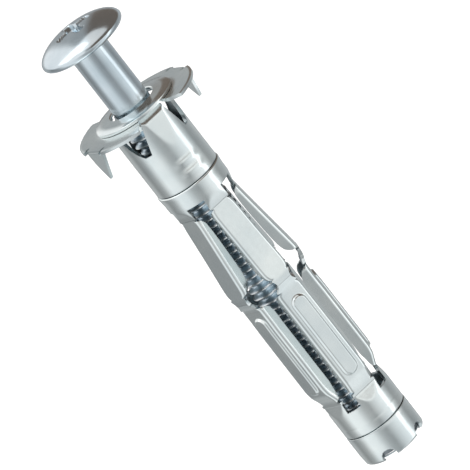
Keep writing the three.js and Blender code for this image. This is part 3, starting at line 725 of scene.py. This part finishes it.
def end_cap():
    """Cap: rows down its wall, with five arch-shaped notches cut from the lower edge and the edge
    curled in. Columns run a whole turn; a cell is left out where it lies under an arch."""
    rows = np.concatenate([np.linspace(-34.06, -36.0, 10), np.linspace(-36.0, -36.7, 15)[1:],
                           np.linspace(-36.7, -37.0, 7)[1:]])
    curl = np.clip((-36.7 - rows) / 0.3, 0.0, 1.0)
    reach = 3.05 - 0.3 * (1.0 - np.sqrt(1.0 - 0.98 * curl ** 2)) - 0.03 * ease(rows, -34.14, -34.06)
    steps = 240
    angle = np.arange(steps) * 360.0 / steps
    half, top = 0.72, 0.92
    grid_angle = np.broadcast_to(angle[None, :], (len(rows), steps)).copy()
    z = np.broadcast_to(rows[:, None], grid_angle.shape).copy()
    middle_angle = angle + 180.0 / steps
    from_slot = np.abs((middle_angle - (FRONT + 36.0) + 36.0) % 72.0 - 36.0)
    across = SLEEVE * np.sin(np.radians(from_slot))
    arch = Z_END + top * np.sqrt(np.clip(1.0 - (across / half) ** 2, 0.0, 1.0)) ** 0.75
    middle_z = (rows[:-1] + rows[1:]) / 2.0
    keep = ~((middle_z[:, None] < arch[None, :]) & (across[None, :] < half))
    outer = round_about(reach[:, None], grid_angle, 0.0)
    outer[..., 2] = z
    inner = round_about(reach[:, None] - SHEET, grid_angle, 0.0)
    inner[..., 2] = np.where(z < -36.7, np.maximum(z, -36.95), z)
    return plate(outer, inner, keep, around=True)


def cap_spigot():
    """Inner lap of the cap, inside the foot ring."""
    # marked -1 as inner side throughout, so the finish paints the whole spigot with shade
    return turned_plate([[2.66, -32.72], [2.66, -34.3], [2.37, -34.3], [2.37, -32.72]], 96, -1.0)


def curled_lip():
    """The cap's end, curled in under the nut: a thin cone-shaped ring round the screw's path."""
    # marked -1 as inner side throughout, so the finish paints the lip with shade; it darkens the notches
    return turned_plate([[2.7, -36.62], [2.72, -36.74], [2.14, -36.95], [2.1, -36.83]], 96, -1.0)


cap = make_mesh("notched_end_cap", *joined(end_cap(), cap_spigot(), curled_lip()), bevel=0.025)
place(cap, "foot", "end_cap", "zinc_sheet", ZINC_SHEET)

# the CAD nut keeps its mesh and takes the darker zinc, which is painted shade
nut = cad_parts["nut"]
nut.data.materials.clear()
nut.data.materials.append(ZINC_NUT_PAINTED_SHADE)


# ---- Floor, light and camera -------------------------------------------------------------

def pale_floor():
    """Plain pale floor well below the part. It glows a little so that it stays pale, and the metal's
    reflections leave it out."""
    mesh = bpy.data.meshes.new("floor")
    size, level = 3.0, -0.075
    corners = [(-size, -size, level), (size, -size, level), (size, size, level), (-size, size, level)]
    mesh.from_pydata(corners, [], [(0, 1, 2, 3)])
    floor = bpy.data.objects.new("floor", mesh)
    bpy.context.scene.collection.objects.link(floor)
    paint = bpy.data.materials.new("pale_floor")
    paint.use_nodes = True
    shader = paint.node_tree.nodes["Principled BSDF"]
    shader.inputs["Base Color"].default_value = (0.98, 0.98, 0.98, 1.0)
    shader.inputs["Roughness"].default_value = 0.9
    shader.inputs["Emission Color"].default_value = (1.0, 1.0, 1.0, 1.0)
    shader.inputs["Emission Strength"].default_value = 0.55
    floor.data.materials.append(paint)
    floor.visible_glossy = False          # the metal shows the studio's soft walls instead


pale_floor()

ELEVATION = 17.5
VIEW_WIDTH = 39.1667                       # what the view takes in at the part, in millimetres
AXIS_RIGHT, AXIS_DOWN = 0.615, 0.789      # how the screw's axis lies in the view, head to foot
toward = np.array([-0.276, -0.961, 0.0])
toward = toward / np.linalg.norm(toward) * math.cos(math.radians(ELEVATION))
toward[2] = math.sin(math.radians(ELEVATION))
level_right = np.cross(-toward, [0.0, 0.0, 1.0])
level_right /= np.linalg.norm(level_right)
level_up = np.cross(level_right, -toward)
roll = np.hypot(AXIS_RIGHT, AXIS_DOWN)
right = (AXIS_DOWN * level_right - AXIS_RIGHT * level_up) / roll
up = (AXIS_RIGHT * level_right + AXIS_DOWN * level_up) / roll
centre = np.array([0.0, 0.0, 0.2]) * MM + 8.25 * MM * right - 10.4 * MM * up
distance = 0.6
lens_camera = bpy.data.cameras.new("camera")
lens_camera.sensor_width = 36.0
lens_camera.lens = 36.0 * distance / (VIEW_WIDTH * MM)
lens_camera.clip_start, lens_camera.clip_end = 0.05, 10.0
camera = bpy.data.objects.new("camera", lens_camera)
bpy.context.scene.collection.objects.link(camera)
turn = Matrix((right, up, toward)).transposed().to_4x4()
camera.matrix_world = Matrix.Translation(Vector(centre + toward * distance)) @ turn
bpy.context.scene.camera = camera


def soft_light(name, direction, strength, width, height, reach=0.35):
    """Rectangular studio light that faces the middle of the part from a direction."""
    lamp = bpy.data.lights.new(name, "AREA")
    lamp.shape = "RECTANGLE"
    lamp.size, lamp.size_y = width, height
    lamp.energy = strength
    obj = bpy.data.objects.new(name, lamp)
    bpy.context.scene.collection.objects.link(obj)
    back = Vector(direction).normalized()
    obj.location = back * reach + Vector((0.0, 0.0, -0.014))
    obj.rotation_mode = "QUATERNION"
    obj.rotation_quaternion = back.to_track_quat("Z", "Y")


soft_light("left_panel", -0.9 * right + 0.35 * toward + 0.4 * up, 0.16, 0.2, 0.4)
soft_light("right_panel", 0.95 * right + 0.3 * toward + 0.25 * up, 0.08, 0.1, 0.4)
soft_light("top_panel", np.array([0.1, -0.2, 1.0]), 0.35, 0.4, 0.4)


def studio_surround():
    """Studio walls. The compass angle from the camera, by arctangent, picks a light or dark upright
    panel, so that turned metal shows soft bands along its length. The walls are lifted near the
    horizon in front; a white panel hangs high on the left and a brown one high on the right."""
    world = bpy.data.worlds.new("studio")
    bpy.context.scene.world = world
    world.use_nodes = True
    nodes, link = world.node_tree.nodes, world.node_tree.links.new
    way = nodes.new("ShaderNodeTexCoord")
    front = np.array([toward[0], toward[1], 0.0]) / math.hypot(toward[0], toward[1])

    def along(direction):
        dot = nodes.new("ShaderNodeVectorMath")
        dot.operation = "DOT_PRODUCT"
        dot.inputs[1].default_value = tuple(direction)
        link(way.outputs["Generated"], dot.inputs[0])
        return dot.outputs["Value"]

    sideways, forwards, height = along(level_right), along(front), along((0.0, 0.0, 1.0))
    compass = nodes.new("ShaderNodeMath")
    compass.operation = "ARCTAN2"
    link(sideways, compass.inputs[0])
    link(forwards, compass.inputs[1])
    walls = nodes.new("ShaderNodeValToRGB")
    link(share_of(nodes, link, compass.outputs["Value"], -math.pi, math.pi), walls.inputs["Fac"])
    stops = [(-180, 0.40), (-140, 0.50), (-118, 0.28), (-95, 0.42), (-72, 0.98), (-42, 0.92), (-14, 0.48),
             (6, 0.36), (22, 0.66), (48, 0.98), (72, 0.80), (98, 0.34), (122, 0.42), (150, 0.55), (180, 0.40)]
    ramp = walls.color_ramp
    spots = [((degrees + 180.0) / 360.0, value) for degrees, value in stops]
    ramp.elements[0].position, ramp.elements[1].position = 0.0, 1.0
    for spot, _ in spots[1:-1]:
        ramp.elements.new(spot)
    for element, (_, value) in zip(ramp.elements, spots):
        element.color = (value * 0.95, value * 0.985, value, 1.0)

    def overlap(first, second):
        both = nodes.new("ShaderNodeMath")
        both.operation = "MULTIPLY"
        link(first, both.inputs[0])
        link(second, both.inputs[1])
        return both.outputs["Value"]

    level_band = overlap(share_of(nodes, link, height, -0.30, -0.08),
                         share_of(nodes, link, height, 0.10, 0.26, 1.0, 0.0))
    lift = overlap(level_band, share_of(nodes, link, forwards, -0.1, 0.5, 0.0, 0.8))
    lift = overlap(lift, share_of(nodes, link, sideways, -0.3, 0.3))
    colour = blend(nodes, link, lift, walls.outputs["Color"], (0.99, 1.0, 0.99))
    white_panel = overlap(share_of(nodes, link, height, 0.06, 0.2),
                          share_of(nodes, link, sideways, -0.1, -0.2))
    colour = blend(nodes, link, white_panel, colour, (1.0, 1.0, 1.0))
    brown_panel = overlap(share_of(nodes, link, height, 0.06, 0.16),
                          share_of(nodes, link, sideways, 0.05, 0.12))
    colour = blend(nodes, link, brown_panel, colour, (0.17, 0.14, 0.12))
    link(colour, nodes["Background"].inputs["Color"])
    nodes["Background"].inputs["Strength"].default_value = 1.0


studio_surround()
bpy.context.scene.view_settings.view_transform = "Standard"
